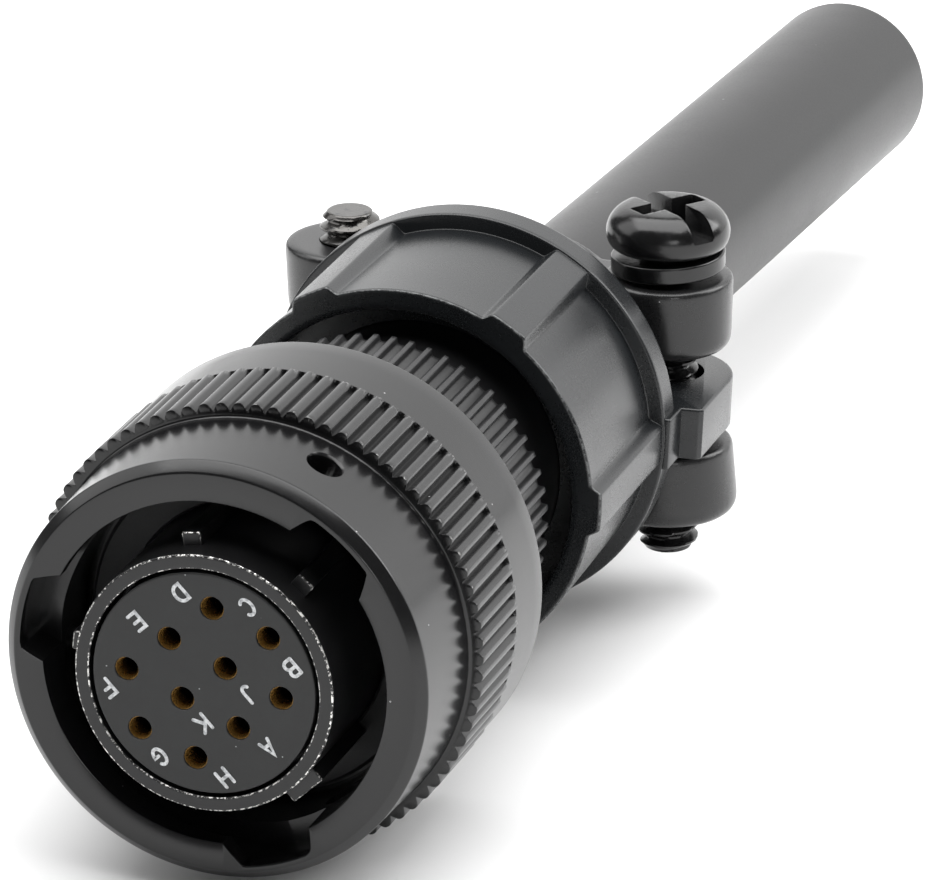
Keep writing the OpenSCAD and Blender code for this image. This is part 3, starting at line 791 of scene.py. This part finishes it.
def saddle(name, z_in, z_out, body, node, clear_side, ear_profile):
    """Two ears and an arch: z_in is the face at the lug, z_out the outer face."""
    up = 1 if z_out > z_in else -1
    h = abs(z_out - z_in)

    def stand(x, y):
        return lambda r, w, t: (x + r * cosd(w), y + r * sind(w), z_in + up * t)
    ear = lambda s: lathe(name + "_ear", rounded([(0, 0)] + ear_profile + [(0, h)], False, 6, 0.1), 72, stand(9.7 * s, 50.6))
    ob = ear(1)
    bar = prism(name + "_bar", [(-9.7, 47.7), (9.7, 47.7), (9.7, 53.5), (-9.7, 53.5)], [(0, 0), (h - 0.6, 0)], lambda x, y, t: (x, y, z_in + up * t))
    # the arch: a half barrel about the plug's axis, closed at the lug face
    half = [(7.7 * cosd(w), 7.7 * sind(w)) for w in range(0, 181, 5)]
    base = abs(z_in)
    half = [(x, y) for x, y in half if y >= base]
    x0 = math.sqrt(7.7 ** 2 - base ** 2)
    half = [(x0, base)] + half + [(-x0, base)]
    arch = prism(name + "_arch", half, [(47.2, 0), (54.0, 0)], lambda x, z, t: (x, t, up * z))
    join([ear(-1), bar, arch], "UNION", ob, "EXACT")
    m = ob.modifiers.new("skin", "REMESH")
    m.mode, m.voxel_size, m.use_smooth_shade = "VOXEL", 0.17, True
    take_modifiers(ob)
    m = ob.modifiers.new("soften", "SMOOTH")
    m.factor, m.iterations = 0.5, 9
    take_modifiers(ob)
    cuts = [lathe(name + "_seat", [(0, -6), (5.41, -6), (5.41, 30), (0, 30)], 96, on_sleeve)]
    for s in (1, -1):
        r = 1.95 if s == clear_side else 1.79
        cuts.append(lathe(name + "_hole", [(0, -3), (r, -3), (r, h + 6), (0, h + 6)], 40, stand(9.7 * s, 50.6)))
    join(cuts, "DIFFERENCE", ob)
    return finish(ob, body, m_saddle, [node], 40)


saddle("upper_saddle_body", 2.5, 6.9, "upper_saddle", "upper_saddle", 1, [(3.62, 0, 0.75), (3.78, 4.4, 0.3)])
saddle("lower_saddle_body", -3.2, -7.6, "lower_saddle", "lower_saddle", -1, [(3.72, 0, 0.25), (4.09, 4.4, 0.95)])


# ---------------------------------------------------------------- screws and lock washers

PITCH = 0.794


def screw(name, x, z_seat, up, body, node, slot_angle, tip):
    n = 60
    rows = [(lambda a, r=r, z=z: (r, z)) for r, z in ((1.15, -18.5), (1.25, -18.5), (1.33, -18.45))]
    count = 168
    for i in range(count + 1):
        z = -18.38 + i * (17.75 / count)

        def row(a, z=z):
            cap = 1.36 + max(0.0, (z + 18.38)) * 0.95
            runout = min(1.0, max(0.0, (-0.75 - z) / 0.5))
            t = thread(a, z, 1.75, 0.44, PITCH)
            return min(cap, 1.70 + (t - 1.70) * runout), z
        rows.append(row)
    head = [(1.72, -0.4), (1.74, -0.1), (1.9, 0.0), (2.6, 0.0), (3.0, 0.0), (3.2, 0.03), (3.36, 0.16), (3.47, 0.36)]
    head += [(3.575 - 1.60 + 1.60 * cosd(w), 0.88 + 1.57 * sind(w)) for w in range(-12, 85, 8)]
    head += [(1.6, 2.44), (1.2, 2.45), (0.6, 2.45)]
    rows += [(lambda a, r=r, z=z: (r, z)) for r, z in head]

    def world(r, a, z):
        return (x + r * cosd(a), 50.6 + up * r * sind(a), z_seat + up * z)
    verts = []
    for i in range(n):
        a = 360 * i / n
        verts += [world(*(lambda q: (q[0], a, q[1]))(f(a))) for f in rows]
    k = len(rows)
    faces = grid_faces(n, k, 0, True, False)
    b0, b1 = len(verts), len(verts) + 1
    verts += [world(0, 0, -18.5), world(0, 0, 2.45)]
    for i in range(n):
        i2 = (i + 1) % n
        faces += [(b0, i2 * k, i * k), (b1, i * k + k - 1, i2 * k + k - 1)]
    ob = new_object(name, verts, faces)

    def block(nm, length, width, z0, z1, turn, flare):
        l, w = length / 2, width / 2
        o = rounded([(-l, -w, 0.12), (l, -w, 0.12), (l, w, 0.12), (-l, w, 0.12)], True, 3, 0.05)

        def place(p, q, h):
            c, s = cosd(turn), sind(turn)
            return (x + p * c - q * s, 50.6 + up * (p * s + q * c), z_seat + up * h)
        return prism(nm, o, [(z0, flare), (z0 + 0.15, 0), (z1, 0)], place)
    join([block(name + "_slot", 9.0, 1.45, 1.05, 4.0, slot_angle, 0.08), block(name + "_cross", 4.4, 1.35, 0.75, 4.0, slot_angle + 90, 0.25)], "DIFFERENCE", ob)
    # break the edges of the slot
    bm = bmesh.new()
    bm.from_mesh(ob.data)
    bmesh.ops.remove_doubles(bm, verts=bm.verts, dist=1e-4)
    zz = z_seat + up * 1.0
    pick = [e for e in bm.edges if len(e.link_faces) == 2 and e.calc_face_angle(0) > math.radians(40)
            and all(up * (v.co.z - zz) > 0.12 for v in e.verts)
            and all(abs(math.hypot(v.co.x - x, v.co.y - 50.6)) > 0.2 for v in e.verts)
            and e.is_convex]
    bmesh.ops.bevel(bm, geom=pick, offset=0.09, segments=2, affect="EDGES", clamp_overlap=True, profile=0.5)
    bm.to_mesh(ob.data)
    bm.free()

    def screw_wear(v):
        h = up * (v.z - z_seat)
        return tip * max(0.0, min(1.0, (-16.2 - h) / 1.2))
    attribute(ob, "wear", screw_wear)
    return finish(ob, body, m_steel, [node], 42)


screw("right_screw_body", 9.7, 8.6, 1, "right_screw", "right_clamp_screw", -37, 0.0)
screw("left_screw_body", -9.7, -9.8, -1, "left_screw", "left_clamp_screw", 20, 0.8)


def lock_washer(name, x, z0, up, start, height, body, node):
    sec = rounded([(2.0, 0.0, 0.10), (3.3, 0.0, 0.13), (3.3, 1.0, 0.13), (2.0, 1.0, 0.10)], True, 3, 0.06)
    n, k = 72, len(sec)
    verts = []
    for i in range(n + 1):
        a = -170 + 340 * i / n
        lift = 0.01 + (height - 1.04) * i / n
        w = a + start
        for r, h in sec:
            verts.append((x + r * cosd(w), 50.6 + up * r * sind(w), z0 + up * (lift + h)))
    faces = grid_faces(n + 1, k, 0, False, True)
    faces += [tuple(range(k)), tuple(range(n * k, n * k + k))]
    ob = new_object(name, verts, faces)
    attribute(ob, "wear", lambda v: 0.0)
    return finish(ob, body, m_steel, [node], 40)


lock_washer("right_split_washer", 9.7, 6.9, 1, -75, 1.7, "upper_saddle", "right_lock_washer")
lock_washer("left_split_washer", -9.7, -7.6, -1, 60, 2.2, "lower_saddle", "left_lock_washer")


# ---------------------------------------------------------------- wave spring

def wave_spring():
    sec = rounded([(9.75, -0.15, 0.06), (10.7, -0.15, 0.06), (10.7, 0.15, 0.06), (9.75, 0.15, 0.06)], True, 2, 0.03)
    n, k = 180, len(sec)
    verts = []
    for i in range(n):
        a = 360 * i / n
        y = 13.2 + 0.43 * cosd(3 * a)
        verts += [about_y(r, a, y + h) for r, h in sec]
    ob = new_object("wave_spring_wire", verts, grid_faces(n, k))
    finish(ob, "plug", m_spring, ["wave_spring"], 40)
    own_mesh(ob)


wave_spring()

# Inner pieces keep their CAD shape
for node, mat in (("retaining_ring", m_spring), ("thrust_washer", m_spring), ("interface_seal", m_seal), ("wire_grommet", m_grommet), ("grommet_follower", m_follower)):
    ob = frame["nodes"][node]
    ob.data.materials.clear()
    ob.data.materials.append(mat)


# ---------------------------------------------------------------- floor, light, camera

floor_me = bpy.data.meshes.new("floor")
fz = -0.01285
floor_me.from_pydata([(-6, -6, fz), (6, -6, fz), (6, 6, fz), (-6, 6, fz)], [], [(0, 1, 2, 3)])
floor = bpy.data.objects.new("floor", floor_me)
scene.collection.objects.link(floor)
g = Graph("pale_floor")
g.set("Base Color", (0.80, 0.80, 0.80, 1))
g.set("Roughness", 0.85)
g.set("Specular IOR Level", 0.2)
floor_me.materials.append(g.mat)

world = bpy.data.worlds.new("studio")
scene.world = world
world.use_nodes = True
bg = world.node_tree.nodes["Background"]
bg.inputs["Color"].default_value = (1, 1, 1, 1)
bg.inputs["Strength"].default_value = 0.10


def softbox(name, place, target, width, height, power):
    li = bpy.data.lights.new(name, "AREA")
    li.shape, li.size, li.size_y, li.energy = "RECTANGLE", width, height, power
    ob = bpy.data.objects.new(name, li)
    ob.location = place
    ob.rotation_euler = (Vector(target) - Vector(place)).to_track_quat("-Z", "Y").to_euler()
    scene.collection.objects.link(ob)
    return ob


softbox("overhead", (-0.05, 0.05, 0.62), (-0.05, 0.05, 0.0), 0.9, 0.7, 8.9)
softbox("rear", (0.0, 0.95, 0.43), (0.0, 0.0, 0.10), 2.4, 0.9, 9.6)
softbox("left", (-0.62, -0.05, 0.42), (0.0, 0.02, 0.0), 0.5, 0.5, 1.6)
softbox("right", (0.55, 0.35, 0.45), (0.10, 0.10, 0.0), 0.5, 0.5, 4.5)
softbox("front_fill", (0.30, -0.50, 0.16), (0.0, 0.0, 0.0), 0.14, 0.14, 0.35)

cam = bpy.data.cameras.new("camera")
cam.sensor_width, cam.sensor_fit = 36.0, "HORIZONTAL"
cam.lens = 8000 / 928 * 36.0
cam.clip_start, cam.clip_end = 0.01, 20
cam_ob = bpy.data.objects.new("camera", cam)
fwd = Vector((-0.304, 0.885, -0.3527)).normalized()
upv = Vector((-0.1066, 0.3363, 0.9357))
right = fwd.cross(upv).normalized()
upv = right.cross(fwd).normalized()
cam_ob.matrix_world = Matrix(((right.x, upv.x, -fwd.x, 0.1393014), (right.y, upv.y, -fwd.y, -0.3630421), (right.z, upv.z, -fwd.z, 0.1600391), (0, 0, 0, 1)))
scene.collection.objects.link(cam_ob)
scene.camera = cam_ob
scene.view_settings.view_transform = "Standard"

bpy.context.view_layer.update()
